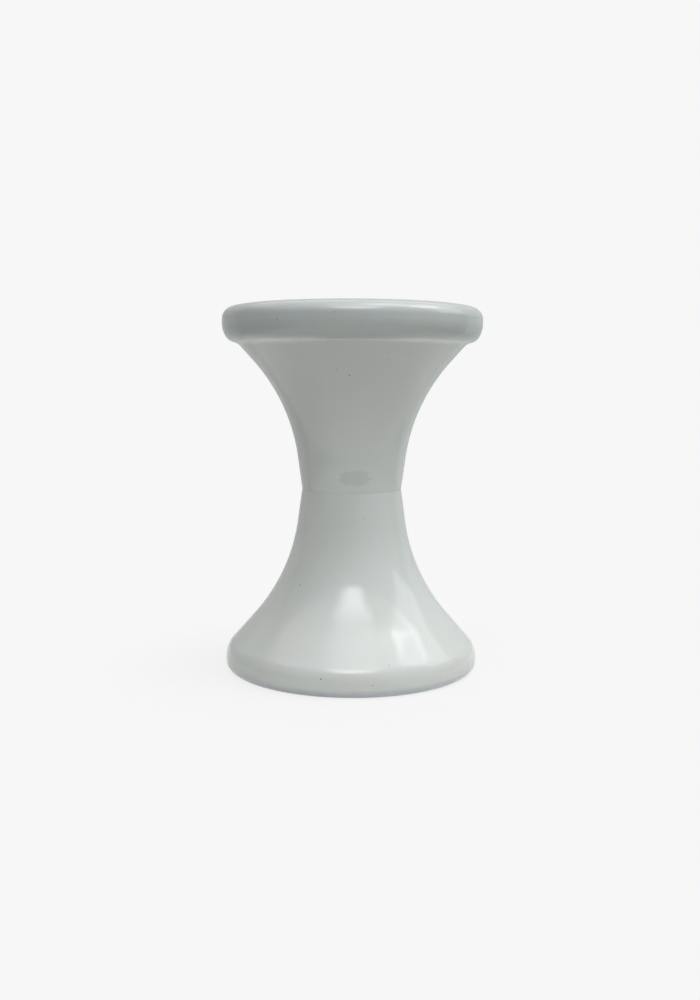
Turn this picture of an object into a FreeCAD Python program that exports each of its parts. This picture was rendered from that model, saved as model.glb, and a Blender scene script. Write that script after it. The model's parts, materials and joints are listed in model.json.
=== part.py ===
import FreeCAD, Part
import math
import os

import Sketcher
from FreeCAD import Placement, Rotation, Vector

# An hourglass stool of three plastic mouldings, in millimetres and degrees, +Z up, standing on
# the floor at z = 0 with its axis on Z.
#
# Each half is a thin-walled trumpet, drawn in a frame of its own: its waist lies at z = 0 and
# its mouth opens towards +Z. The lower half is turned over, mouth down, and the upper half
# stands on it, waist on waist. A lean is the angle between a wall and the axis: 0 runs
# straight towards the mouth, 90 straight outward and -90 straight inward.

SIZES = {
    # both halves, from the seam at the waist out along the flare
    "wall": 3.0,
    "seam_bevel": 0.8,
    "waist_radius": 61.8,
    "neck_lean": 7.8,
    "neck_length": 39.2,
    "flare_radius": 223.5,
    "flare_lean": 41.8,
    # the lower half's foot: a straight flare, a round shoulder, a skirt and a rolled-in rim
    "foot_flare_length": 40.3,
    "shoulder_radius": 30.0,
    "skirt_height": 4.0,
    "foot_round": 11.3,
    "foot_land": 5.0,
    # the upper half's mouth: a straight flare, a fillet out to a ledge and an upright collar
    "mouth_flare_length": 22.9,
    "ledge_fillet": 19.5,
    "ledge_lean": 75.0,
    "collar_round": 0.8,
    # the seat: a lip round the ledge, a bullnose edge and a crowned top
    "seat_wall": 3.0,
    "seat_gap": 0.3,
    "lip_radius": 15.0,
    "lip_lean": 30.0,
    "bullnose_radius": 32.0,
    "band_height": 4.6,
    "edge_radius": 15.3,
    "edge_turn": 78.0,
    "crown_radius": 121.0,
    # the seat's underside: a ring that centres it in the collar, rests that stand on the
    # collar, and spokes out to the ring from a hub
    "ring_gap": 0.5,
    "ring_wall": 2.4,
    "ring_depth": 10.0,
    "rest_depth": 2.4,
    "rest_count": 24,
    "rib_wall": 2.0,
    "rib_depth": 10.0,
    "rib_count": 8,
    "hub_radius": 22.0,
    # the waist's twist lock, alike on both halves: a web, hooks through it and keyhole slots
    "web": 3.0,
    "hook_count": 3,
    "hook_radius": 40.0,
    "hook_wall": 4.5,
    "hook_arc": 15.0,
    "hook_reach": 5.5,
    "hook_thickness": 3.0,
    "lock_overlap": 4.0,
    "lock_gap": 0.3,
    "slot_gap": 0.4,
    "slot_play": 0.5,
}

# Lengths that several pieces share, worked out from the sizes above.
FLARE_RISE = (
    "sizes.seam_bevel + sizes.neck_length * cos(sizes.neck_lean * 1deg)"
    " + sizes.flare_radius * (sin(sizes.flare_lean * 1deg) - sin(sizes.neck_lean * 1deg))"
)
HALF_HEIGHT = (
    f"({FLARE_RISE} + sizes.foot_flare_length * cos(sizes.flare_lean * 1deg)"
    " + sizes.shoulder_radius * sin(sizes.flare_lean * 1deg)"
    " + sizes.skirt_height + sizes.foot_round)"
)
LEDGE_LEVEL = (
    f"({FLARE_RISE} + sizes.mouth_flare_length * cos(sizes.flare_lean * 1deg)"
    " + sizes.ledge_fillet * (sin(sizes.ledge_lean * 1deg) - sin(sizes.flare_lean * 1deg)))"
)
LEDGE_RADIUS = (
    "(sizes.waist_radius + sizes.neck_length * sin(sizes.neck_lean * 1deg)"
    " + sizes.flare_radius * (cos(sizes.neck_lean * 1deg) - cos(sizes.flare_lean * 1deg))"
    " + sizes.mouth_flare_length * sin(sizes.flare_lean * 1deg)"
    " + sizes.ledge_fillet * (cos(sizes.flare_lean * 1deg) - cos(sizes.ledge_lean * 1deg)))"
)
SEAT_HEIGHT = (
    "(sizes.lip_radius * (sin(sizes.ledge_lean * 1deg) - sin(sizes.lip_lean * 1deg))"
    " + sizes.bullnose_radius * sin(sizes.lip_lean * 1deg) + sizes.band_height"
    " + sizes.edge_radius * sin(sizes.edge_turn * 1deg)"
    " + sizes.crown_radius * (1 - sin(sizes.edge_turn * 1deg)))"
)
LIP_RADIUS = f"({LEDGE_RADIUS} + sizes.seat_gap)"
FLAT_RADIUS = (
    f"({LIP_RADIUS}"
    " + sizes.lip_radius * (cos(sizes.lip_lean * 1deg) - cos(sizes.ledge_lean * 1deg))"
    " + sizes.bullnose_radius * (1 - cos(sizes.lip_lean * 1deg))"
    " - sizes.edge_radius * (1 - cos(sizes.edge_turn * 1deg))"
    " - sizes.crown_radius * cos(sizes.edge_turn * 1deg))"
)
RING_RADIUS = f"({LEDGE_RADIUS} - sizes.wall - sizes.ring_gap)"
TURN_TO_OPEN = "(sizes.hook_arc + sizes.lock_overlap)"


def underside(radius):
    """How far above its lip the seat's ceiling lies at a radius on its flat or its crown."""
    beyond = f"max(0; {radius} - {FLAT_RADIUS})"
    reach = f"pow(sizes.crown_radius - sizes.seat_wall; 2) - pow({beyond}; 2)"
    return f"({SEAT_HEIGHT} - sizes.crown_radius + sqrt({reach}))"


CEILING = underside("0")
COLLAR_HEIGHT = f"({underside(LIP_RADIUS)} - sizes.rest_depth)"

# The walls, each as the run of lines and arcs that its outer face follows.
NECK = [
    ("line", "sizes.neck_length", "sizes.neck_lean"),
    ("arc", "sizes.flare_radius", "sizes.neck_lean", "sizes.flare_lean"),
]
FOOT = [
    ("line", "sizes.foot_flare_length", "sizes.flare_lean"),
    ("arc", "sizes.shoulder_radius", "sizes.flare_lean", "0"),
    ("line", "sizes.skirt_height", "0"),
    ("arc", "sizes.foot_round", "0", "-90"),
    ("line", "sizes.foot_land", "-90"),
]
MOUTH = [
    ("line", "sizes.mouth_flare_length", "sizes.flare_lean"),
    ("arc", "sizes.ledge_fillet", "sizes.flare_lean", "sizes.ledge_lean"),
]
SEAT_EDGE = [
    ("arc", "sizes.lip_radius", "sizes.ledge_lean", "sizes.lip_lean"),
    ("arc", "sizes.bullnose_radius", "sizes.lip_lean", "0"),
    ("line", "sizes.band_height", "0"),
    ("arc", "sizes.edge_radius", "0", "-sizes.edge_turn"),
    ("arc", "sizes.crown_radius", "-sizes.edge_turn", "-90"),
]

doc = FreeCAD.newDocument("hourglass_stool")
sheet = doc.addObject("Spreadsheet::Sheet", "sizes")
for row, (name, size) in enumerate(SIZES.items(), start=1):
    sheet.set(f"A{row}", name)
    sheet.set(f"B{row}", str(size))
    sheet.setAlias(f"B{row}", name)
doc.recompute()


def value(expression):
    """What an expression on the sheet comes to."""
    result = sheet.evalExpression(expression)
    return float(getattr(result, "Value", result))


def step(length, lean):
    """A step of that length and lean in a half section, where x is the radius."""
    angle = math.radians(lean)
    return Vector(length * math.sin(angle), length * math.cos(angle), 0)


def origin_item(body, role):
    """The body's own plane or axis of that role."""
    return next(item for item in body.Origin.OriginFeatures if item.Role == role)


def new_sketch(body, name, turn=None):
    """A half section on the body's XZ plane, turned about the axis if asked."""
    sketch = body.newObject("Sketcher::SketchObject", name)
    sketch.AttachmentSupport = [(origin_item(body, "XZ_Plane"), "")]
    sketch.MapMode = "FlatFace"
    if turn:
        # The sketch's own y axis is the body's Z axis.
        sketch.AttachmentOffset = Placement(Vector(), Rotation(Vector(0, 1, 0), value(turn)))
        sketch.setExpression("AttachmentOffset.Rotation.Angle", turn)
    return sketch


def tie(sketch, expression, *constraint):
    """Add a constraint whose size follows an expression on the sheet."""
    size = value(expression)
    if constraint[0] == "Angle":
        size = math.radians(size)
        expression = f"({expression}) * 1deg"
    index = sketch.addConstraint(Sketcher.Constraint(*constraint, size))
    sketch.setExpression(f"Constraints[{index}]", expression)


def pin(sketch, end, radius, level):
    """Hold the end of an edge at that radius and level."""
    for expression, kind, axis in ((radius, "DistanceX", -2), (level, "DistanceY", -1)):
        if expression == "0":
            sketch.addConstraint(Sketcher.Constraint("PointOnObject", *end, axis))
        else:
            tie(sketch, expression, kind, -1, 1, *end)


def polygon(body, name, corners, turn=None):
    """A closed half section through those corners, each a radius and a level."""
    sketch = new_sketch(body, name, turn)
    points = [Vector(value(radius), value(level), 0) for radius, level in corners]
    for start, end in zip(points, points[1:] + points[:1]):
        sketch.addGeometry(Part.LineSegment(start, end), False)
    for edge, (radius, level) in enumerate(corners):
        before = (edge - 1) % len(corners)
        sketch.addConstraint(Sketcher.Constraint("Coincident", before, 2, edge, 1))
        pin(sketch, (edge, 1), radius, level)
    return sketch


def oblong(body, name, inside, outside, low, high, turn=None):
    """A rectangular half section between two radii and two levels."""
    corners = [(inside, low), (outside, low), (outside, high), (inside, high)]
    return polygon(body, name, corners, turn)


class Chain:
    """Lines and arcs in a half section, each drawn on from the end of the one before."""

    def __init__(self, sketch, radius, level="0"):
        self.sketch = sketch
        self.origin = (radius, level)
        self.at = Vector(value(radius), value(level), 0)
        self.start = None
        self.end = None

    def join(self, shape, near, far, smooth):
        """Add an edge whose end called near meets the chain and whose end called far is free."""
        edge = self.sketch.addGeometry(shape, False)
        if self.end:
            kind = "Tangent" if smooth else "Coincident"
            self.sketch.addConstraint(Sketcher.Constraint(kind, *self.end, edge, near))
        else:
            self.start = (edge, near)
            pin(self.sketch, self.start, *self.origin)
        self.end = (edge, far)
        return edge

    def line(self, length, lean, smooth=False):
        """A line of that length and lean."""
        start = self.at
        self.at = start + step(value(length), value(lean))
        edge = self.join(Part.LineSegment(start, self.at), 1, 2, smooth)
        if not smooth:
            tie(self.sketch, f"90 - ({lean})", "Angle", edge)
        tie(self.sketch, length, "Distance", edge)

    def arc(self, radius, lean, end_lean, smooth=True):
        """An arc of that radius that turns the wall from one lean to the other."""
        outward = value(end_lean) > value(lean)
        side = 90 if outward else -90
        start = self.at
        centre = start + step(value(radius), value(lean) + side)
        middle = centre - step(value(radius), (value(lean) + value(end_lean)) / 2 + side)
        self.at = centre - step(value(radius), value(end_lean) + side)
        # A sketch keeps its arcs counter-clockwise, so one that turns outward runs end to start.
        near, far = (2, 1) if outward else (1, 2)
        edge = self.join(Part.Arc(start, middle, self.at), near, far, smooth)
        tie(self.sketch, radius, "Radius", edge)
        tie(self.sketch, f"abs(({end_lean}) - ({lean}))", "Angle", edge)
        if not smooth:
            across = f"({radius}) * cos(({lean}) * 1deg)"
            tie(self.sketch, across, "DistanceX", edge, 3, edge, near)

    def follow(self, run, inset="0"):
        """Draw a run of lines and arcs, or the run that lies inside it by the inset all along."""
        for number, (kind, size, *leans) in enumerate(run):
            smooth = number > 0
            if kind == "line":
                self.line(size, *leans, smooth)
            elif value(leans[1]) > value(leans[0]):
                self.arc(f"{size} + {inset}", *leans, smooth)
            else:
                self.arc(f"{size} - {inset}", *leans, smooth)

    def to_axis(self):
        """A level line from the end of the chain in to the axis."""
        start = self.at
        self.at = Vector(0, start.y, 0)
        edge = self.join(Part.LineSegment(start, self.at), 1, 2, True)
        self.sketch.addConstraint(Sketcher.Constraint("PointOnObject", edge, 2, -2))


def close(sketch, first, second):
    """A straight line between the free ends of two chains."""
    points = [sketch.getPoint(*end) for end in (first, second)]
    edge = sketch.addGeometry(Part.LineSegment(*points), False)
    sketch.addConstraint(Sketcher.Constraint("Coincident", *first, edge, 1))
    sketch.addConstraint(Sketcher.Constraint("Coincident", edge, 2, *second))


def revolve(sketch, arc=None, kind="PartDesign::Revolution"):
    """Turn a half section all the way round the axis, or through an arc centred on it."""
    body = sketch.getParentGeoFeatureGroup()
    feature = body.newObject(kind, f"{sketch.Name}_turned")
    feature.Profile = sketch
    feature.ReferenceAxis = (sketch, ["V_Axis"])
    feature.Angle = 360
    if arc:
        feature.Midplane = True
        feature.setExpression("Angle", f"({arc}) * 1deg")
    body.Tip = feature
    return feature


def blade(sketch, thickness):
    """Thicken a half section to a radial rib."""
    body = sketch.getParentGeoFeatureGroup()
    feature = body.newObject("PartDesign::Pad", f"{sketch.Name}_blade")
    feature.Profile = sketch
    feature.Midplane = True
    feature.setExpression("Length", thickness)
    body.Tip = feature
    return feature


def pattern(body, name, features, count):
    """Repeat features round the axis."""
    feature = body.newObject("PartDesign::PolarPattern", name)
    feature.Originals = features
    feature.Axis = (origin_item(body, "Z_Axis"), [""])
    feature.Angle = 360
    feature.setExpression("Occurrences", count)
    body.Tip = feature
    return feature


def rim_edges(feature, level):
    """The names of a feature's circular edges that lie at that level."""
    names = []
    for number, edge in enumerate(feature.Shape.Edges, start=1):
        box = edge.BoundBox
        if edge.Closed and abs(box.ZMin - level) < 0.001 and abs(box.ZMax - level) < 0.001:
            names.append(f"Edge{number}")
    return names


def trumpet_wall(body, run):
    """The flared wall, from the seam at the waist out to the end of its run."""
    sketch = new_sketch(body, f"{body.Name}_wall")
    outer = Chain(sketch, "sizes.waist_radius - sizes.seam_bevel")
    outer.line("sizes.seam_bevel * sqrt(2)", "45")
    outer.follow(run)
    inner = Chain(sketch, "sizes.waist_radius - sizes.wall * cos(sizes.neck_lean * 1deg)")
    inner.line("sizes.seam_bevel + sizes.wall * sin(sizes.neck_lean * 1deg)", "0")
    inner.follow(run, "sizes.wall")
    close(sketch, outer.end, inner.end)
    close(sketch, outer.start, inner.start)
    revolve(sketch)


def twist_lock(body):
    """The web across the waist, its hooks, and its slots for the other half's hooks."""
    name = body.Name
    revolve(oblong(body, f"{name}_web", "0", "sizes.waist_radius - sizes.wall / 2", "0", "sizes.web"))

    # A hook stands on the web's outer face, reaches through the other half's web and turns
    # outward behind it.
    root = "sizes.hook_radius"
    back = "sizes.hook_radius + sizes.hook_wall"
    tip = "sizes.hook_radius + sizes.hook_wall + sizes.hook_reach"
    lip = "-sizes.web - sizes.lock_gap"
    end = "-sizes.web - sizes.lock_gap - sizes.hook_thickness"
    foot = "sizes.web / 2"
    corners = [(root, foot), (back, foot), (back, lip), (tip, lip), (tip, end), (root, end)]
    hook = revolve(polygon(body, f"{name}_hook", corners), "sizes.hook_arc")

    # The other half's hooks enter where the slot is wide and turn under its narrow end, which
    # lies midway between this half's own hooks.
    cut = ("-sizes.web", "sizes.web * 2")
    inside = "sizes.hook_radius - sizes.slot_gap"
    slot = oblong(
        body, f"{name}_slot", inside, f"{back} + sizes.slot_gap", *cut,
        turn=f"180 / sizes.hook_count - {TURN_TO_OPEN} / 2",
    )
    entry = oblong(
        body, f"{name}_entry", inside, f"{tip} + sizes.slot_gap", *cut,
        turn=f"180 / sizes.hook_count - {TURN_TO_OPEN}",
    )
    hook_room = "sizes.hook_arc + 2 * sizes.slot_play"
    narrow = revolve(slot, f"{hook_room} + {TURN_TO_OPEN}", "PartDesign::Groove")
    wide = revolve(entry, hook_room, "PartDesign::Groove")
    pattern(body, f"{name}_lock", [hook, narrow, wide], "sizes.hook_count")
    return [narrow, wide]


def make_lower_trumpet():
    """The foot half: mouth down, with a rounded shoulder and a rim that rolls in to the floor."""
    body = doc.addObject("PartDesign::Body", "lower_trumpet")
    trumpet_wall(body, NECK + FOOT)
    cuts = twist_lock(body)
    body.Placement = Placement(Vector(), Rotation(Vector(1, 0, 0), 180))
    body.setExpression("Placement.Base.z", HALF_HEIGHT)
    return body, cuts


def make_upper_trumpet():
    """The seat half: mouth up, with a ledge and an upright collar that carries the seat."""
    body = doc.addObject("PartDesign::Body", "upper_trumpet")
    trumpet_wall(body, NECK + MOUTH)
    top = f"{LEDGE_LEVEL} + {COLLAR_HEIGHT}"
    inside = f"{LEDGE_RADIUS} - sizes.wall"
    revolve(oblong(body, "collar", inside, LEDGE_RADIUS, LEDGE_LEVEL, top))
    cuts = twist_lock(body)
    doc.recompute()
    square = body.Tip
    rounded = body.newObject("PartDesign::Fillet", "collar_rim")
    rounded.Base = (square, rim_edges(square, value(top)))
    rounded.setExpression("Radius", "min(sizes.collar_round; sizes.wall * 0.4)")
    body.Tip = rounded
    # Its hooks stand midway between the lower half's.
    quarter = "180 / sizes.hook_count"
    body.Placement = Placement(Vector(), Rotation(Vector(0, 0, 1), value(quarter)))
    body.setExpression("Placement.Rotation.Angle", quarter)
    body.setExpression("Placement.Base.z", HALF_HEIGHT)
    return body, cuts


def make_seat_lid():
    """The seat: a bullnose cap that stands on the collar. Its own z = 0 is at its lip."""
    body = doc.addObject("PartDesign::Body", "seat_lid")
    sketch = new_sketch(body, "seat_wall")
    outer = Chain(sketch, LIP_RADIUS)
    outer.follow(SEAT_EDGE)
    outer.to_axis()
    inner = Chain(
        sketch,
        f"{LIP_RADIUS} - sizes.seat_wall * cos(sizes.ledge_lean * 1deg)",
        "sizes.seat_wall * sin(sizes.ledge_lean * 1deg)",
    )
    inner.follow(SEAT_EDGE, "sizes.seat_wall")
    inner.to_axis()
    close(sketch, outer.end, inner.end)
    close(sketch, outer.start, inner.start)
    revolve(sketch)

    # The lip is bored out upright, so that it slides down round the collar.
    core = f"{LIP_RADIUS} - 2 * sizes.seat_wall"
    reach = ("-sizes.seat_wall", "3 * sizes.seat_wall")
    bored = revolve(oblong(body, "lip_bore", core, LIP_RADIUS, *reach), kind="PartDesign::Groove")

    # What stands down from the ceiling starts half a wall inside it.
    root = "sizes.seat_wall / 2"
    floor = f"{CEILING} - sizes.rib_depth"
    ring_low = f"{CEILING} - sizes.ring_depth"
    ring_middle = f"({RING_RADIUS} - sizes.ring_wall / 2)"
    ring_top = f"{underside(RING_RADIUS)} + {root}"
    hub_side = "sizes.hub_radius + sizes.rib_wall"
    hub_middle = "sizes.hub_radius + sizes.rib_wall / 2"
    ring_side = f"{RING_RADIUS} - sizes.ring_wall"
    revolve(oblong(body, "ring", ring_side, RING_RADIUS, ring_low, ring_top))
    revolve(oblong(body, "hub", "sizes.hub_radius", hub_side, floor, f"{CEILING} + {root}"))
    spoke = polygon(body, "spoke", [
        (hub_middle, floor),
        (ring_middle, floor),
        (ring_middle, f"{underside(ring_middle)} + {root}"),
        (f"min({FLAT_RADIUS}; {ring_middle} - sizes.rib_wall)", f"{CEILING} + {root}"),
        (hub_middle, f"{CEILING} + {root}"),
    ])
    pattern(body, "spokes", [blade(spoke, "sizes.rib_wall")], "sizes.rib_count")
    rest = polygon(body, "rest", [
        (ring_middle, COLLAR_HEIGHT),
        (LIP_RADIUS, COLLAR_HEIGHT),
        (LIP_RADIUS, f"{underside(LIP_RADIUS)} + {root}"),
        (ring_middle, f"{underside(ring_middle)} + {root}"),
    ])
    pattern(body, "rests", [blade(rest, "sizes.rib_wall")], "sizes.rest_count")
    body.setExpression("Placement.Base.z", f"{HALF_HEIGHT} + {LEDGE_LEVEL}")
    return body, [bored]


made = [make_lower_trumpet(), make_upper_trumpet(), make_seat_lid()]
doc.recompute()

for item in doc.Objects:
    if {"Invalid", "Error"} & set(item.State):
        raise RuntimeError(f"{item.Name} failed: {item.State}")
for body, cuts in made:
    for cut in cuts:
        if cut.Shape.Volume > cut.BaseFeature.Shape.Volume - 1:
            raise RuntimeError(f"{cut.Name} cuts nothing")
    if body.Shape.isNull() or not body.Shape.isValid() or len(body.Shape.Solids) != 1:
        raise RuntimeError(f"{body.Label} is not one valid solid")

os.makedirs("parts", exist_ok=True)
for body, cuts in made:
    body.Shape.exportStep(f"parts/{body.Label}.step")
    box = body.Shape.optimalBoundingBox()
    print(f"{body.Label}: z {box.ZMin:.2f} to {box.ZMax:.2f}, across {box.XLength:.2f}")
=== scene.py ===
import json
import math

import bpy
from mathutils import Matrix, Vector


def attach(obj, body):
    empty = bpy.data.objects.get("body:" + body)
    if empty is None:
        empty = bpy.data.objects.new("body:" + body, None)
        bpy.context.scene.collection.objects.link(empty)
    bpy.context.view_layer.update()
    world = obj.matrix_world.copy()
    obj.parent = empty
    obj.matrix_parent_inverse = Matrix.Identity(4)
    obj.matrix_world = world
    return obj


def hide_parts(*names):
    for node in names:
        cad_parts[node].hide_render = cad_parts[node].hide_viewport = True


# An hourglass stool of three glossy plastic mouldings: two trumpet halves that twist together at
# the waist, and a seat lid. Metres and degrees, +Z up, standing on the floor at z = 0.
#
# A half is drawn in a frame of its own, with its seam at level 0 and its mouth upwards. A lean is
# the angle between a wall and the axis: 0 runs towards the mouth, 90 outwards and -90 inwards.

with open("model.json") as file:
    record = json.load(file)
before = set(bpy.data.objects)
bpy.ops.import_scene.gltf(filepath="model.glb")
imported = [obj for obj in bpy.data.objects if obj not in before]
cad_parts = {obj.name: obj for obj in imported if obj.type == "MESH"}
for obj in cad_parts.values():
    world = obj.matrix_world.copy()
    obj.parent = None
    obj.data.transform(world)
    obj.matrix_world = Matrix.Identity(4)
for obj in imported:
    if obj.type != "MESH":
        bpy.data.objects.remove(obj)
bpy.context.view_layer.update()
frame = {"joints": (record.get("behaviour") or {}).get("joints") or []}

MM = 0.001

# The walls of both halves
WALL = 3.0 * MM
WAIST_RADIUS = 61.8 * MM
SEAM_BEVEL = 0.8 * MM
SEAM_EDGE = 0.2 * MM
NECK_LEAN = 7.8
FLARE_LEAN = 41.8
NECK = [("line", 39.2 * MM, NECK_LEAN), ("arc", 223.5 * MM, NECK_LEAN, FLARE_LEAN)]
FOOT = [
    ("line", 40.3 * MM, FLARE_LEAN),
    ("arc", 30.0 * MM, FLARE_LEAN, 0),
    ("line", 4.0 * MM, 0),
    ("arc", 11.3 * MM, 0, -90),
    ("line", 5.0 * MM, -90),
]
LEDGE_LEAN = 75.0
MOUTH = [("line", 22.9 * MM, FLARE_LEAN), ("arc", 19.5 * MM, FLARE_LEAN, LEDGE_LEAN)]

# The twist lock across the waist
WEB = 3.0 * MM
HOOKS = 3
HOOK_RADIUS = 40.0 * MM
HOOK_WALL = 4.5 * MM
HOOK_REACH = 5.5 * MM
HOOK_THICKNESS = 3.0 * MM
HOOK_ARC = 15.0
LOCK_GAP = 0.3 * MM
SLOT_GAP = 0.4 * MM
SLOT_PLAY = 0.5
LOCK_STEPS = 12
TURN_TO_OPEN = frame["joints"][0]["range_deg"][1]

# The seat
SEAT_WALL = 3.0 * MM
SEAT_GAP = 0.3 * MM
SEAT_EDGE = [
    ("arc", 15.0 * MM, LEDGE_LEAN, 30),
    ("arc", 32.0 * MM, 30, 0),
    ("line", 4.6 * MM, 0),
    ("arc", 15.3 * MM, 0, -78),
    ("arc", 121.0 * MM, -78, -90),
]
RING_GAP = 0.5 * MM
RING_WALL = 2.4 * MM
RIB_WALL = 2.0 * MM
RIB_DEPTH = 10.0 * MM
REST_DEPTH = 2.4 * MM
LIP_DEPTH = 1.05 * SEAT_WALL
HUB_RADIUS = 22.0 * MM
SPOKES = 8
RESTS = 24

# How finely a piece is turned, and how its sharp edges are softened. A rounding takes at most
# its share of the line on either side of the corner.
SIDES = 256
ARC_STEP = 1.5
SHARP_TURN = 20.0
EDGE_RADIUS = 0.7 * MM
EDGE_SHARE = 0.45
EDGE_STEPS = 4
SMOOTH_ANGLE = 30.0
WELD = 0.001 * MM

# The plastics. A colour is red, green, blue and alpha, in linear light. A moulding clouds between
# its tint and its aged tint, and its specks are so far apart. Grit shows where the mask of dirt,
# painted shade and painted reflection is high, more and more between two amounts of it.
TRUMPET_TINT = (0.735, 0.775, 0.76, 1)
TRUMPET_AGED = (0.745, 0.76, 0.735, 1)
TRUMPET_SPECKS = 15 * MM
TRUMPET_ROUGHNESS = 0.07
TRUMPET_SCRATCHES = 0.6
SEAT_TINT = (0.60, 0.645, 0.64, 1)
SEAT_AGED = (0.61, 0.64, 0.62, 1)
SEAT_SPECKS = 9 * MM
SEAT_ROUGHNESS = 0.045
SEAT_SCRATCHES = 1.0
CLOUDS = 2.2
STREAKS = 0.9
SPECK = (0.045, 0.05, 0.055, 1)
SPECK_RADIUS = 0.95 * MM
SPECK_WOBBLE = 2.8 * MM
WOBBLE_SCALE = 600.0
GRIT_SPACING = 6 * MM
GRIT_RADIUS = 0.7 * MM
GRIT_MASK_RANGE = (0.05, 0.25)
# A painted dark reflection on the upper half's front, and the share of it that adds grit and
# rougher gloss.
DARK_REFLECTION = (0.52, 0.53, 0.5, 1)
REFLECTION_WEAR_SHARE = 0.3
SCRATCH = (0.5, 0.52, 0.53, 1)
SCRATCH_FINENESS = 140.0
SCRATCH_STRENGTH = 0.25
SCRATCH_DEPTH = 0.012 * MM
# Painted shade: the foot's bottom edge is painted darker and bluish.
FOOT_PAINTED_SHADE = (0.56, 0.60, 0.82, 1)
SEAM_GRIME = (0.42, 0.41, 0.38, 1)
PEEL = 0.010 * MM
WAVES = 0.10 * MM
SMEARS = (0.35, 0.75)
SMEAR_GAIN = 1.8
WORN_ROUGHNESS = 0.22

# The studio, in metres. Bearings are degrees round from the camera's side, to the right. The
# floor fades to a plain glow between two distances from the axis, and a screen's glow changes
# between two heights.
EYE = (-0.0022, -1.3557, 0.362)
EYE_TURN = (85.5, -0.25, 0.02)
LENS = 39.22
SENSOR = 36
LENS_SHIFT = -0.0369
PALE = (0.93, 0.93, 0.93, 1)
FILL = (0.41, 0.36, 0.33, 1)
DAYLIGHT = (0.96, 1.0, 1.02)
FLOOR_RADIUS = 0.75
FLOOR_SIDES = 128
FLOOR_DROP = 0.2 * MM
FLOOR_BOUNCE = (0.655, 0.645, 0.615, 1)
FLOOR_FADE = (0.12, 0.34)
FLOOR_GLOW = 0.85
SCREEN_RADIUS = 3.0
SCREEN_TOP = 2.68
SCREEN_STEPS = 48
SCREEN_COLOUR = (0.25, 0.262, 0.265, 1)
BACK_COLOUR = (0.5, 0.52, 0.52, 1)
GLOW_CHANGE = (0.5, 1.3)
LAYER_DROP = 10 * MM


def heading(lean):
    """The direction of a wall with that lean, as a radius and a level."""
    return Vector((math.sin(math.radians(lean)), math.cos(math.radians(lean))))


def trace(start, run, inset=0.0):
    """Points along a run of lines and arcs, or along the run that lies inside it by the inset."""
    at = Vector(start)
    points = [at]
    for kind, size, *leans in run:
        if kind == "line":
            at = at + heading(leans[0]) * size
            points.append(at)
            continue
        lean, end = leans
        side = 90 if end > lean else -90
        radius = size + inset if end > lean else size - inset
        centre = at + heading(lean + side) * radius
        steps = math.ceil(abs(end - lean) / ARC_STEP)
        for number in range(1, steps + 1):
            now = lean + (end - lean) * number / steps
            points.append(centre - heading(now + side) * radius)
        at = points[-1]
    return points


def soften(points):
    """The same outline with its sharp corners rounded."""
    softened = [points[0]]
    for before, corner, after in zip(points, points[1:], points[2:]):
        back, on = before - corner, after - corner
        turn = math.pi - back.angle(on)
        if turn < math.radians(SHARP_TURN):
            softened.append(corner)
            continue
        room = EDGE_SHARE * min(back.length, on.length)
        reach = min(EDGE_RADIUS * math.tan(turn / 2), room)
        first, last = back.normalized() * reach, on.normalized() * reach
        for number in range(EDGE_STEPS + 1):
            share = number / EDGE_STEPS
            softened.append(corner + first * (1 - share) ** 2 + last * share ** 2)
    return softened + [points[-1]]


def draw(name, corners):
    """Start a piece as a wire through those corners. It stays in edit mode."""
    bpy.ops.object.select_all(action="DESELECT")
    bpy.ops.mesh.primitive_plane_add()
    piece = bpy.context.object
    piece.name = name
    bpy.ops.object.mode_set(mode="EDIT")
    bpy.ops.mesh.merge(type="CENTER")
    bpy.ops.transform.translate(value=corners[0])
    for here, there in zip(corners, corners[1:]):
        move = {"value": Vector(there) - Vector(here)}
        bpy.ops.mesh.extrude_vertices_move(TRANSFORM_OT_translate=move)
    return piece


def close_up():
    """Merge a piece's doubles, turn its faces outwards and leave edit mode."""
    bpy.ops.mesh.select_all(action="SELECT")
    bpy.ops.mesh.remove_doubles(threshold=WELD)
    bpy.ops.mesh.normals_make_consistent(inside=False)
    bpy.ops.object.mode_set(mode="OBJECT")


def turned(name, outline):
    """A piece turned on the axis from an outline that starts and ends on it."""
    piece = draw(name, [(point.x, 0, point.y) for point in outline])
    bpy.ops.mesh.select_all(action="SELECT")
    bpy.ops.mesh.spin(steps=SIDES, angle=math.tau, center=(0, 0, 0), axis=(0, 0, 1))
    close_up()
    return piece


def draw_face(name, corners):
    """Start a piece as a face with those corners. It stays in edit mode, and all selected."""
    piece = draw(name, corners)
    bpy.ops.mesh.select_all(action="SELECT")
    bpy.ops.mesh.edge_face_add()
    return piece


def slab(name, corners, rise):
    """A flat outline thickened by a rise."""
    piece = draw_face(name, corners)
    bpy.ops.mesh.extrude_region_move(TRANSFORM_OT_translate={"value": rise})
    close_up()
    return piece


def round_the_axis(piece, count):
    """Copies of a piece, evenly spaced round the axis, joined into one."""
    copies = [piece]
    for number in range(1, count):
        copy = piece.copy()
        copy.data = piece.data.copy()
        copy.rotation_euler.z = math.tau * number / count
        bpy.context.collection.objects.link(copy)
        copies.append(copy)
    bpy.ops.object.select_all(action="DESELECT")
    for copy in copies:
        copy.select_set(True)
    bpy.ops.object.transform_apply(location=False, rotation=True, scale=False)
    bpy.context.view_layer.objects.active = piece
    bpy.ops.object.join()
    return piece


def combine(piece, tool, operation):
    """Add a tool to a piece or cut it away."""
    bpy.ops.object.select_all(action="DESELECT")
    bpy.context.view_layer.objects.active = piece
    modifier = piece.modifiers.new(operation, "BOOLEAN")
    modifier.operation = operation
    modifier.solver = "EXACT"
    modifier.object = tool
    bpy.ops.object.modifier_apply(modifier=modifier.name)
    bpy.data.objects.remove(tool)


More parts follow.
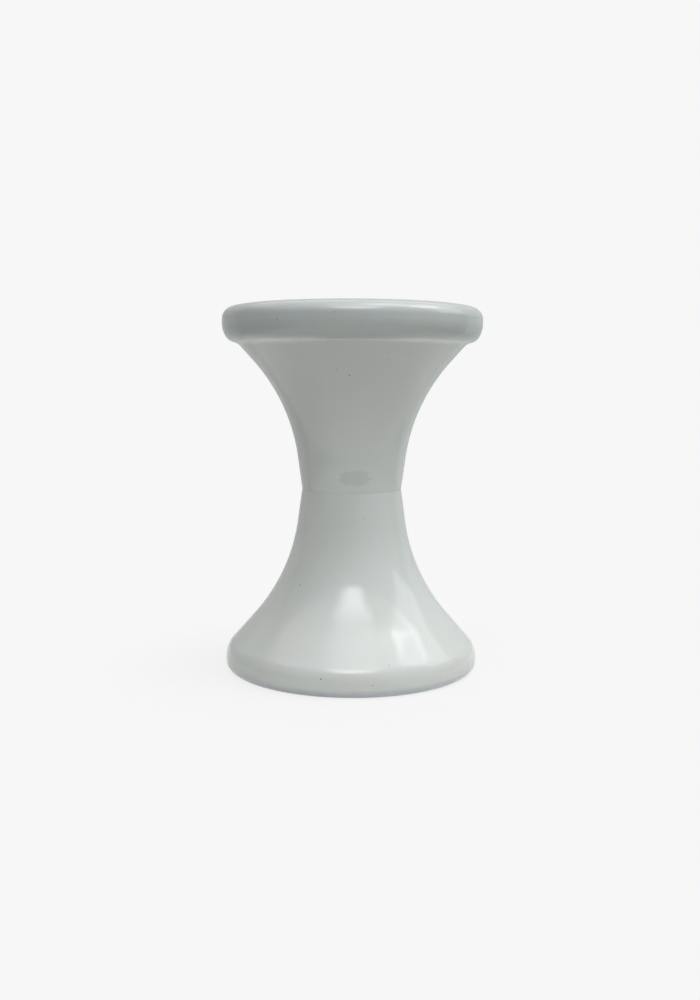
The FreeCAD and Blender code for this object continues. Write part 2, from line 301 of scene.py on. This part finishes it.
def finish_moulding(piece, material, body, node):
    """Shade a moulding, give it its plastic and put it in its node's place."""
    bpy.ops.object.select_all(action="DESELECT")
    piece.select_set(True)
    bpy.context.view_layer.objects.active = piece
    bpy.ops.object.shade_smooth_by_angle(angle=math.radians(SMOOTH_ANGLE))
    piece.data.materials.clear()
    piece.data.materials.append(material)
    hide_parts(node)
    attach(piece, body)


def wall_outline(run, rim):
    """A half's whole section, from the seam's centre out round the wall and in along the web.

    The rim joins the end of the outer face to the end of the inner one.
    """
    slope = math.tan(math.radians(NECK_LEAN))
    crease = WAIST_RADIUS - (SEAM_BEVEL - SEAM_EDGE) * slope
    seam = [Vector((0, 0)), Vector((crease - SEAM_EDGE, 0)), Vector((crease, SEAM_EDGE))]
    outer = trace((WAIST_RADIUS, SEAM_BEVEL), run)[1:]
    neck_wall = WALL * math.cos(math.radians(NECK_LEAN))
    neck_rise = SEAM_BEVEL + WALL * math.sin(math.radians(NECK_LEAN))
    inner = trace((WAIST_RADIUS - neck_wall, neck_rise), run, WALL)
    web = inner[0].x + (WEB - inner[0].y) * slope
    outer, inner = rim(outer, inner[1:])
    return soften(seam + outer + inner[::-1] + [Vector((web, WEB)), Vector((0, WEB))])


def foot_rim(outer, inner):
    """The foot's rim ends in a plain edge."""
    return outer, inner


def collar_rim(outer, inner):
    """The seat half's rim is an upright collar on the ledge."""
    ledge = outer[-1]
    inside = ledge.x - WALL
    inner = [point for point in inner if point.x < inside]
    rise = (inside - inner[-1].x) / math.tan(math.radians(LEDGE_LEAN))
    inner.append(Vector((inside, inner[-1].y + rise)))
    top = collar_top()
    return outer + [Vector((ledge.x, top))], inner + [Vector((inside, top))]


def ledge_point():
    """Where the seat half's ledge meets its collar."""
    return trace((WAIST_RADIUS, SEAM_BEVEL), NECK + MOUTH)[-1]


def seat_faces():
    """The seat's outer face and its ceiling, from the lip in to the axis."""
    lip = ledge_point() + Vector((SEAT_GAP, 0))
    outer = trace(lip, SEAT_EDGE)
    lean = math.radians(LEDGE_LEAN)
    inside = lip + Vector((-math.cos(lean), math.sin(lean))) * SEAT_WALL
    return outer, trace(inside, SEAT_EDGE, SEAT_WALL)


def level_at(face, radius):
    """The level of a face at a radius, on its way in from its widest point."""
    widest = max(range(len(face)), key=lambda number: face[number].x)
    for out, into in zip(face[widest:], face[widest + 1:]):
        if into.x <= radius:
            return into.y + (out.y - into.y) * (radius - into.x) / (out.x - into.x)
    return face[-1].y


def collar_top():
    """The collar ends a rest's depth below the seat's ceiling."""
    outer, ceiling = seat_faces()
    return level_at(ceiling, outer[0].x) - REST_DEPTH


def twist_lock(name, half, start):
    """The hooks and keyhole slots of the half above the seam (1) or below it (-1)."""

    def place(bearing, radius, level):
        angle = math.radians(start + half * bearing)
        return radius * math.cos(angle), radius * math.sin(angle), SEAM + half * level

    back = HOOK_RADIUS + HOOK_WALL
    tip = back + HOOK_REACH
    lip = -WEB - LOCK_GAP
    end = lip - HOOK_THICKNESS
    foot = WEB / 2
    side = [
        Vector((HOOK_RADIUS, foot)), Vector((HOOK_RADIUS, end)), Vector((tip, end)),
        Vector((tip, lip)), Vector((back, lip)), Vector((back, foot)),
    ]
    hook = draw_face(f"{name}_hooks", [place(-HOOK_ARC / 2, *point) for point in soften(side)])
    sweep = math.radians(HOOK_ARC * -half)
    bpy.ops.mesh.spin(steps=LOCK_STEPS, angle=sweep, center=(0, 0, 0), axis=(0, 0, 1))
    close_up()
    hooks = round_the_axis(hook, HOOKS)

    room = HOOK_ARC + 2 * SLOT_PLAY
    narrow = 180 / HOOKS + room / 2
    wide = narrow - TURN_TO_OPEN
    far = wide - room
    inside, middle, outside = HOOK_RADIUS - SLOT_GAP, back + SLOT_GAP, tip + SLOT_GAP
    short, long = LOCK_STEPS, 2 * LOCK_STEPS
    corners = [(wide, middle), (wide, outside)]
    corners += [(far + (wide - far) * (1 - step / short), outside) for step in range(1, short + 1)]
    corners += [(far + (narrow - far) * step / long, inside) for step in range(long + 1)]
    corners += [(narrow + (wide - narrow) * step / short, middle) for step in range(short)]
    keyhole = slab(
        f"{name}_slots", [place(bearing, radius, -WEB) for bearing, radius in corners],
        (0, 0, half * 3 * WEB),
    )
    return hooks, round_the_axis(keyhole, HOOKS)


def set_up(outline, half):
    """A half's outline at its place in the stool."""
    return [Vector((point.x, SEAM + half * point.y)) for point in outline]


def fit_lock(piece, lock):
    """Cut a half's slots and add its hooks."""
    hooks, slots = lock
    combine(piece, slots, "DIFFERENCE")
    combine(piece, hooks, "UNION")


def make_lower_trumpet(plastic):
    """The foot half, mouth down."""
    outline = set_up(wall_outline(NECK + FOOT, foot_rim), -1)
    piece = turned("lower_trumpet_moulding", outline)
    fit_lock(piece, twist_lock("lower", -1, 0))
    finish_moulding(piece, plastic, "lower_half", "lower_trumpet")


def make_upper_trumpet(plastic):
    """The seat half, mouth up, with its hooks midway between the lower half's."""
    outline = set_up(wall_outline(NECK + MOUTH, collar_rim), 1)
    piece = turned("upper_trumpet_moulding", outline)
    fit_lock(piece, twist_lock("upper", 1, 180 / HOOKS))
    finish_moulding(piece, plastic, "upper_half", "upper_trumpet")


def make_seat_lid(plastic):
    """The seat: a bullnose cap with a hub, spokes, a centring ring and rests underneath."""
    outer, ceiling = seat_faces()
    lip = outer[0]
    ring = ledge_point().x - WALL - RING_GAP
    ring_inside = ring - RING_WALL
    hub_outside = HUB_RADIUS + RIB_WALL
    flat = ceiling[-1].y
    low = flat - RIB_DEPTH
    bore = [Vector((lip.x, level)) for level in (lip.y, lip.y + LIP_DEPTH)]
    inner = [point for point in ceiling if point.x > lip.x and point.y > bore[1].y]
    crown = [point for point in ceiling[ceiling.index(inner[-1]) + 1:] if point.x > ring]
    crown_inside = [
        point for point in ceiling if hub_outside < point.x < ring_inside and point.y > low
    ]
    outline = [Vector((0, outer[-1].y))] + outer[::-1] + [bore[1]] + inner + crown
    outline += [Vector((ring, level_at(ceiling, ring))), Vector((ring, low))]
    outline += [Vector((ring_inside, low)), Vector((ring_inside, level_at(ceiling, ring_inside)))]
    outline += crown_inside
    outline += [Vector((hub_outside, flat)), Vector((hub_outside, low))]
    outline += [Vector((HUB_RADIUS, low)), Vector((HUB_RADIUS, flat)), Vector((0, flat))]
    piece = turned("seat_lid_moulding", set_up(soften(outline), 1))

    root = SEAT_WALL / 2
    inside, outside = HUB_RADIUS + RIB_WALL / 2, ring - RING_WALL / 2
    spoke = [(inside, low), (outside, low), (outside, level_at(ceiling, outside) + root)]
    spoke += [(point.x, point.y + root) for point in crown_inside]
    spoke += [(inside, flat + root)]
    top = collar_top()
    rest = [(outside, top), (lip.x, top), (lip.x, level_at(ceiling, lip.x) + root)]
    rest += [(outside, level_at(ceiling, outside) + root)]
    for name, side, count in (("spokes", spoke, SPOKES), ("rests", rest, RESTS)):
        corners = [(radius, -RIB_WALL / 2, SEAM + level) for radius, level in side]
        ribs = round_the_axis(slab(name, corners, (0, RIB_WALL, 0)), count)
        combine(piece, ribs, "UNION")
    finish_moulding(piece, plastic, "seat", "seat_lid")


# Levels above the floor: the seam is as high as the foot half's wall, and the seat's lip meets
# the upper half's ledge.
SEAM = max(point.y for point in trace((WAIST_RADIUS, SEAM_BEVEL), NECK + FOOT))
LIP_LEVEL = SEAM + ledge_point().y

# Wear and painted light on the plastics. A band is a level, a spread, an amount and a colour; a
# painted reflection is its middle, its half sizes and an amount.
TRUMPET_BANDS = [
    # Painted bluish shade along the foot's bottom edge.
    (0.0, 14 * MM, 0.45, FOOT_PAINTED_SHADE),
    (SEAM, 1.8 * MM, 0.08, SEAM_GRIME),
]
# A painted dark reflection on the front of the upper half, just above the seam.
TRUMPET_REFLECTIONS = [((4 * MM, -65 * MM, SEAM + 18 * MM), (20 * MM, 25 * MM, 10 * MM), 0.32)]
SEAT_BANDS = [(LIP_LEVEL, 2.5 * MM, 0.12, SEAM_GRIME)]


class Nodes:
    """Adds nodes to a tree, each with its inputs linked or set."""

    def __init__(self, tree):
        self.tree = tree

    def add(self, kind, inputs=(), **settings):
        node = self.tree.nodes.new("ShaderNode" + kind)
        for name, setting in settings.items():
            setattr(node, name, setting)
        for name, source in dict(inputs).items():
            self.join(source, node.inputs[name])
        return node

    def join(self, source, socket):
        if isinstance(source, bpy.types.NodeSocket):
            self.tree.links.new(source, socket)
        else:
            socket.default_value = source

    def maths(self, operation, *values):
        return self.add("Math", dict(enumerate(values)), operation=operation).outputs[0]

    def ramp(self, value, low, high, bottom=0.0, top=1.0):
        """A value that eases from bottom to top as the given one goes from low to high."""
        inputs = {
            "Value": value, "From Min": low, "From Max": high, "To Min": bottom, "To Max": top,
        }
        return self.add("MapRange", inputs, interpolation_type="SMOOTHSTEP").outputs["Result"]

    def mix(self, share, first, second):
        node = self.add("Mix", {0: share, 6: first, 7: second}, data_type="RGBA")
        return node.outputs[2]

    def noise(self, place, scale, detail=2.0, roughness=0.5):
        inputs = {"Vector": place, "Scale": scale, "Detail": detail, "Roughness": roughness}
        return self.add("TexNoise", inputs).outputs["Fac"]

    def stretch(self, place, scale, turn=(0, 0, 0)):
        angles = [math.radians(angle) for angle in turn]
        inputs = {"Vector": place, "Rotation": angles, "Scale": scale}
        return self.add("Mapping", inputs).outputs[0]


def new_group(name, inputs, outputs):
    """An empty node group: its builder, its named inputs, and a call that sets its outputs."""
    tree = bpy.data.node_groups.new(name, "ShaderNodeTree")
    for socket, kind in inputs:
        tree.interface.new_socket(socket, in_out="INPUT", socket_type="NodeSocket" + kind)
    for socket, kind in outputs:
        tree.interface.new_socket(socket, in_out="OUTPUT", socket_type="NodeSocket" + kind)
    build = Nodes(tree)
    given = tree.nodes.new("NodeGroupInput").outputs
    result = tree.nodes.new("NodeGroupOutput")

    def give(**values):
        for socket, value in values.items():
            build.join(value, result.inputs[socket])

    return tree, build, given, give


def make_clouding():
    """Faint clouds and upright flow streaks, as a pale moulding has, between two tints."""
    tree, build, given, give = new_group(
        "clouding",
        [("Place", "Vector"), ("Tint", "Color"), ("Aged", "Color"), ("Clouds", "Float"),
         ("Streaks", "Float")],
        [("Colour", "Color")],
    )
    clouds = build.noise(given["Place"], scale=11.0, detail=3.0)
    upright = build.stretch(given["Place"], scale=(1, 1, 0.06))
    streaks = build.noise(upright, scale=55.0)
    clouds = build.maths("MULTIPLY", build.maths("SUBTRACT", clouds, 0.5), given["Clouds"])
    streaks = build.maths("MULTIPLY", build.maths("SUBTRACT", streaks, 0.5), given["Streaks"])
    share = build.ramp(build.maths("ADD", clouds, streaks), -0.5, 0.5)
    give(Colour=build.mix(share, given["Tint"], given["Aged"]))
    return tree


def make_specks():
    """Sparse dark specks: grit burnt into the plastic, and nicks that hold dirt."""
    tree, build, given, give = new_group(
        "specks",
        [("Place", "Vector"), ("Colour", "Color"), ("Speck", "Color"), ("Spacing", "Float"),
         ("Radius", "Float")],
        [("Colour", "Color"), ("Mask", "Float")],
    )
    inputs = {"Vector": given["Place"], "Scale": WOBBLE_SCALE}
    wobble = build.add("TexNoise", inputs).outputs["Color"]
    inputs = {0: wobble, "Scale": SPECK_WOBBLE}
    wobble = build.add("VectorMath", inputs, operation="SCALE").outputs[0]
    place = build.add("VectorMath", {0: given["Place"], 1: wobble}, operation="ADD").outputs[0]
    density = build.maths("DIVIDE", 1.0, given["Spacing"])
    cells = build.add("TexVoronoi", {"Vector": place, "Scale": density})
    distance = build.maths("MULTIPLY", cells.outputs["Distance"], given["Spacing"])
    luck = build.add("SeparateColor", {0: cells.outputs["Color"]}).outputs
    size = build.ramp(luck["Red"], 0.3, 1.0, bottom=0.01, top=1.2)
    strength = build.ramp(luck["Green"], 0.0, 1.0, bottom=0.2, top=0.8)
    radius = build.maths("MULTIPLY", size, given["Radius"])
    spot = build.ramp(build.maths("DIVIDE", distance, radius), 0.45, 1.0, bottom=1.0, top=0.0)
    mask = build.maths("MULTIPLY", spot, strength)
    give(Colour=build.mix(mask, given["Colour"], given["Speck"]), Mask=mask)
    return tree


def make_scratches():
    """Hairline scratches that cross each other in patches where the piece is handled."""
    tree, build, given, give = new_group(
        "scratches",
        [("Place", "Vector"), ("Fineness", "Float"), ("Amount", "Float")],
        [("Mask", "Float")],
    )
    lines = 0.0
    for turn in ((20, 35, 10), (-40, 15, 70), (75, -25, 130)):
        place = build.stretch(given["Place"], scale=(1, 0.05, 1), turn=turn)
        grain = build.noise(place, scale=given["Fineness"], detail=1.0)
        from_middle = build.maths("ABSOLUTE", build.maths("SUBTRACT", grain, 0.5))
        hairs = build.ramp(from_middle, 0.0, 0.006, bottom=1.0, top=0.0)
        lines = build.maths("MAXIMUM", lines, hairs)
    patches = build.ramp(build.noise(given["Place"], scale=23.0), 0.48, 0.7)
    breaks = build.ramp(build.noise(given["Place"], scale=130.0), 0.45, 0.6)
    lines = build.maths("MULTIPLY", lines, build.maths("MULTIPLY", patches, breaks))
    give(Mask=build.maths("MULTIPLY", lines, given["Amount"]))
    return tree


def make_grime_and_shade_band():
    """A ragged band of colour about one level: grime at the seams, and painted shade at the foot.
    """
    tree, build, given, give = new_group(
        "grime_and_shade",
        [("Place", "Vector"), ("Colour", "Color"), ("Grime", "Color"), ("Level", "Float"),
         ("Spread", "Float"), ("Amount", "Float")],
        [("Colour", "Color"), ("Mask", "Float")],
    )
    height = build.add("SeparateXYZ", {0: given["Place"]}).outputs["Z"]
    distance = build.maths("ABSOLUTE", build.maths("SUBTRACT", height, given["Level"]))
    near = build.maths("DIVIDE", distance, given["Spread"])
    ragged = build.noise(given["Place"], scale=90.0, detail=4.0, roughness=0.6)
    ragged = build.maths("SUBTRACT", ragged, 0.5)
    band = build.ramp(build.maths("ADD", near, ragged), 0.1, 1.0, bottom=1.0, top=0.0)
    mask = build.maths("MULTIPLY", band, given["Amount"])
    give(Colour=build.mix(mask, given["Colour"], given["Grime"]), Mask=mask)
    return tree


def make_painted_reflection():
    """A painted dark reflection with a ragged edge, as of a dark thing in front mirrored in the
    gloss.
    """
    tree, build, given, give = new_group(
        "painted_reflection",
        [("Place", "Vector"), ("Colour", "Color"), ("Mark", "Color"), ("Amount", "Float")],
        [("Colour", "Color"), ("Mask", "Float")],
    )
    length = build.add("VectorMath", {0: given["Place"]}, operation="LENGTH").outputs["Value"]
    ragged = build.noise(given["Place"], scale=2.2, detail=3.0, roughness=0.6)
    ragged = build.maths("SUBTRACT", ragged, 0.5)
    patch = build.ramp(build.maths("ADD", length, ragged), 0.82, 1.1, bottom=1.0, top=0.0)
    mask = build.maths("MULTIPLY", patch, given["Amount"])
    give(Colour=build.mix(mask, given["Colour"], given["Mark"]), Mask=mask)
    return tree


def make_skin():
    """The height of a moulded skin: orange peel, and the slow waves of a cooling wall."""
    tree, build, given, give = new_group(
        "moulded_skin",
        [("Place", "Vector"), ("Peel", "Float"), ("Waves", "Float")],
        [("Height", "Float")],
    )
    peel = build.maths("MULTIPLY", build.noise(given["Place"], scale=320.0), given["Peel"])
    waves = build.maths("MULTIPLY", build.noise(given["Place"], scale=28.0), given["Waves"])
    give(Height=build.maths("ADD", peel, waves))
    return tree


def plastic(name, groups, tint, aged, bands, reflections, spacing, roughness, scratch):
    """A glossy, pale moulded plastic with its wear, its painted shade and its painted reflections.
    """
    material = bpy.data.materials.new(name)
    material.use_nodes = True
    build = Nodes(material.node_tree)
    shader = material.node_tree.nodes["Principled BSDF"]
    place = build.add("TexCoord").outputs["Object"]

    def use(kind, **inputs):
        node = build.add("Group", node_tree=groups[kind])
        for socket, value in inputs.items():
            build.join(value, node.inputs[socket])
        return node.outputs

    colour = use(
        "clouding", Place=place, Tint=tint, Aged=aged, Clouds=CLOUDS, Streaks=STREAKS,
    )["Colour"]
    # A mask of dirt and painted light: the grime bands, the painted shade at the foot and the
    # painted reflections.
    dirt_and_painted_light = 0.0
    for level, spread, amount, grime_and_shade in bands:
        band = use(
            "grime_and_shade", Place=place, Colour=colour, Grime=grime_and_shade, Level=level, Spread=spread,
            Amount=amount,
        )
        colour = band["Colour"]
        dirt_and_painted_light = build.maths("MAXIMUM", dirt_and_painted_light, band["Mask"])
    # Painted dark reflections, which also add a little to the grit and the rougher gloss.
    for middle, size, amount in reflections:
        inputs = {"Vector": place, "Location": middle, "Scale": size}
        local = build.add("Mapping", inputs, vector_type="TEXTURE").outputs[0]
        reflection = use("painted_reflection", Place=local, Colour=colour, Mark=DARK_REFLECTION, Amount=amount)
        colour = reflection["Colour"]
        reflection_wear = build.maths("MULTIPLY", reflection["Mask"], REFLECTION_WEAR_SHARE)
        dirt_and_painted_light = build.maths("MAXIMUM", dirt_and_painted_light, reflection_wear)
    # Grit gathers where the mask of dirt and painted light is high, so also in the painted shade at
    # the foot.
    grit = use(
        "specks", Place=place, Colour=colour, Speck=SPECK, Spacing=GRIT_SPACING, Radius=GRIT_RADIUS,
    )["Mask"]
    grit = build.maths("MULTIPLY", grit, build.ramp(dirt_and_painted_light, *GRIT_MASK_RANGE))
    colour = build.mix(grit, colour, SPECK)
    specks = use(
        "specks", Place=place, Colour=colour, Speck=SPECK, Spacing=spacing, Radius=SPECK_RADIUS,
    )
    lines = use("scratches", Place=place, Fineness=SCRATCH_FINENESS, Amount=scratch)["Mask"]
    share = build.maths("MULTIPLY", lines, SCRATCH_STRENGTH)
    colour = build.mix(share, specks["Colour"], SCRATCH)
    nicked = build.maths("MAXIMUM", lines, specks["Mask"])
    worn = build.maths("MAXIMUM", nicked, dirt_and_painted_light)
    smears = build.noise(place, scale=17.0, detail=3.0)
    smear = build.ramp(smears, *SMEARS, roughness, roughness * SMEAR_GAIN)
    rough = build.maths("ADD", smear, build.maths("MULTIPLY", worn, WORN_ROUGHNESS))
    skin = use("skin", Place=place, Peel=PEEL, Waves=WAVES)["Height"]
    cut = build.maths("MULTIPLY", nicked, SCRATCH_DEPTH)
    height = build.maths("SUBTRACT", skin, cut)
    bump = build.add("Bump", {"Height": height, "Distance": 1.0, "Strength": 1.0})
    build.join(colour, shader.inputs["Base Color"])
    build.join(rough, shader.inputs["Roughness"])
    build.join(bump.outputs["Normal"], shader.inputs["Normal"])
    return material


def make_plastics():
    """The two plastics: the halves share one, and the seat is a shade greyer."""
    groups = {
        "clouding": make_clouding(), "specks": make_specks(), "scratches": make_scratches(),
        "grime_and_shade": make_grime_and_shade_band(), "painted_reflection": make_painted_reflection(), "skin": make_skin(),
    }
    halves = plastic(
        "trumpet_plastic", groups, TRUMPET_TINT, TRUMPET_AGED, TRUMPET_BANDS, TRUMPET_REFLECTIONS,
        TRUMPET_SPECKS, TRUMPET_ROUGHNESS, TRUMPET_SCRATCHES,
    )
    seat = plastic(
        "seat_plastic", groups, SEAT_TINT, SEAT_AGED, SEAT_BANDS, [],
        SEAT_SPECKS, SEAT_ROUGHNESS, SEAT_SCRATCHES,
    )
    return halves, seat


def make_camera():
    """The view from the front, a little above the stool's middle."""
    camera = bpy.data.cameras.new("camera")
    camera.lens = LENS
    camera.sensor_width = SENSOR
    camera.shift_y = LENS_SHIFT
    eye = bpy.data.objects.new("camera", camera)
    eye.location = EYE
    eye.rotation_euler = [math.radians(angle) for angle in EYE_TURN]
    bpy.context.collection.objects.link(eye)
    bpy.context.scene.camera = eye


def background_rays(build):
    """1 for the rays that show the background, on their own or in gloss or glass."""
    rays = build.add("LightPath").outputs
    shown = build.maths("MAXIMUM", rays["Is Camera Ray"], rays["Is Glossy Ray"])
    return build.maths("MAXIMUM", shown, rays["Is Transmission Ray"])


def make_world():
    """A pale background that adds only a dim fill to the light on the stool."""
    world = bpy.data.worlds.new("studio")
    bpy.context.scene.world = world
    world.use_nodes = True
    build = Nodes(world.node_tree)
    background = world.node_tree.nodes["Background"]
    build.join(build.mix(background_rays(build), FILL, PALE), background.inputs["Color"])
    background.inputs["Strength"].default_value = 1.0


def stage_piece(name, material, seen):
    """Name the active object, give it its material and set whether the camera sees it."""
    piece = bpy.context.object
    piece.name = name
    piece.data.materials.append(material)
    piece.visible_camera = seen


def matt(name):
    """A matt material, with its builder and the inputs of its shader."""
    material = bpy.data.materials.new(name)
    material.use_nodes = True
    inputs = material.node_tree.nodes["Principled BSDF"].inputs
    inputs["Roughness"].default_value = 1.0
    inputs["Specular IOR Level"].default_value = 0.0
    return material, Nodes(material.node_tree), inputs


def make_floor():
    """A round, matt, pale floor. It bounces less light up than its paleness shows."""
    material, build, shader = matt("floor_paper")
    place = build.add("TexCoord").outputs["Object"]
    length = build.add("VectorMath", {0: place}, operation="LENGTH").outputs["Value"]
    shown = background_rays(build)
    colour = build.mix(shown, FLOOR_BOUNCE, PALE)
    fade = build.maths("MULTIPLY", build.ramp(length, *FLOOR_FADE, FLOOR_GLOW), shown)
    build.join(build.mix(fade, colour, (0, 0, 0, 1)), shader["Base Color"])
    build.join(PALE, shader["Emission Color"])
    build.join(fade, shader["Emission Strength"])
    bpy.ops.mesh.primitive_circle_add(vertices=FLOOR_SIDES, radius=FLOOR_RADIUS, fill_type="NGON")
    bpy.context.object.location.z = -FLOOR_DROP
    stage_piece("floor", material, True)


def make_screen(name, start, sweep, colour, glow):
    """A cloth screen round part of the studio, which the gloss shows as a band with clean edges.

    It starts at a bearing and sweeps to the right. Its glow is a strength low down and one high up.
    """
    material, build, shader = matt(name + "_cloth")
    build.join(colour, shader["Base Color"])
    build.join(colour, shader["Emission Color"])
    place = build.add("TexCoord").outputs["Object"]
    height = build.add("SeparateXYZ", {0: place}).outputs["Z"]
    build.join(build.ramp(height, *GLOW_CHANGE, *glow), shader["Emission Strength"])
    bearing = math.radians(start)
    near, far = (
        (radius * math.sin(bearing), -radius * math.cos(bearing), -MM)
        for radius in (FLOOR_RADIUS, SCREEN_RADIUS)
    )
    draw(name, [near, far, (far[0], far[1], SCREEN_TOP)])
    bpy.ops.mesh.select_all(action="SELECT")
    turn = math.radians(-sweep)
    bpy.ops.mesh.spin(steps=SCREEN_STEPS, angle=turn, center=(0, 0, 0), axis=(0, 0, 1))
    close_up()
    stage_piece(name, material, False)


def lamp(name, width, depth, radiance, place, turn=(0, 0, 0)):
    """A rectangular lamp with that radiance all over, which the camera doesn't see."""
    light = bpy.data.lights.new(name, "AREA")
    light.shape = "RECTANGLE"
    light.size, light.size_y = width, depth
    light.energy = radiance * math.pi * width * depth
    light.color = DAYLIGHT
    box = bpy.data.objects.new(name, light)
    box.location = place
    box.rotation_euler = turn
    box.visible_camera = False
    bpy.context.collection.objects.link(box)


def softbox(name, ends, distance, height, radiance):
    """A softbox that faces the stool's middle, long from one bearing and rise to another."""
    reaches = []
    for bearing, rise in ends:
        across, up = math.radians(bearing), math.radians(rise)
        flat = math.cos(up)
        reaches.append(Vector((math.sin(across) * flat, -math.cos(across) * flat, math.sin(up))))
    middle = (reaches[0] + reaches[1]) * distance / 2
    span = (reaches[1] - reaches[0]) * distance
    away = middle.normalized()
    along = (span - away * span.dot(away)).normalized()
    turn = Matrix((along, away.cross(along), away)).transposed().to_euler()
    lamp(name, span.length, height, radiance, Vector((0, 0, SEAM)) + middle, turn)


def ceiling_glow(name, level, widest, narrowest, radiance, layers=4):
    """A part of the ceiling that glows, most in its middle: rectangles over each other.

    A rectangle is its left, right, front and back. Each one hangs a little below the last, because
    lamps at one level would hide each other.
    """
    for layer in range(layers):
        share = (layer + 0.5) / layers
        left, right, front, back = (
            wide + (narrow - wide) * share for wide, narrow in zip(widest, narrowest)
        )
        place = ((left + right) / 2, (front + back) / 2, level - layer * LAYER_DROP)
        lamp(f"{name}_{layer}", right - left, back - front, radiance / layers, place)


def make_lights():
    """A ceiling of soft light, strongest in front and to the right, and a window to the right."""
    ceiling_glow(
        "front_ceiling", level=2.95, widest=(-1.3, 1.4, -3.35, -1.5),
        narrowest=(-0.3, 0.6, -3.25, -2.3), radiance=5.65, layers=6,
    )
    ceiling_glow(
        "centre_ceiling", level=3.1, widest=(-1.3, 1.5, -2.2, -0.2),
        narrowest=(-0.4, 0.8, -1.5, -0.7), radiance=1.75,
    )
    ceiling_glow(
        "right_ceiling", level=3.2, widest=(1.2, 3.5, -1.2, 1.1),
        narrowest=(1.8, 3.1, -0.6, 0.5), radiance=2.3,
    )
    ceiling_glow(
        "middle_ceiling", level=3.0, widest=(0.1, 1.6, -1.1, 0.3),
        narrowest=(0.6, 1.1, -0.7, -0.1), radiance=2.9,
    )
    softbox(
        "right_softbox", ends=((72, 57), (100, 46)), distance=2.8, height=0.45, radiance=3.9,
    )
    softbox(
        "right_window", ends=((78, 30), (114, 30)), distance=2.6, height=1.0, radiance=1.65,
    )


bpy.context.scene.view_settings.view_transform = "Standard"
make_camera()
make_world()
make_floor()
make_screen("left_screen", start=-118, sweep=30, colour=SCREEN_COLOUR, glow=(0.8, 0.0))
make_screen("dark_screen", start=-88, sweep=203, colour=SCREEN_COLOUR, glow=(0.0, 0.0))
make_screen("pale_screen", start=115, sweep=127, colour=BACK_COLOUR, glow=(0.5, 0.5))
make_lights()
trumpet_plastic, seat_plastic = make_plastics()
make_lower_trumpet(trumpet_plastic)
make_upper_trumpet(trumpet_plastic)
make_seat_lid(seat_plastic)
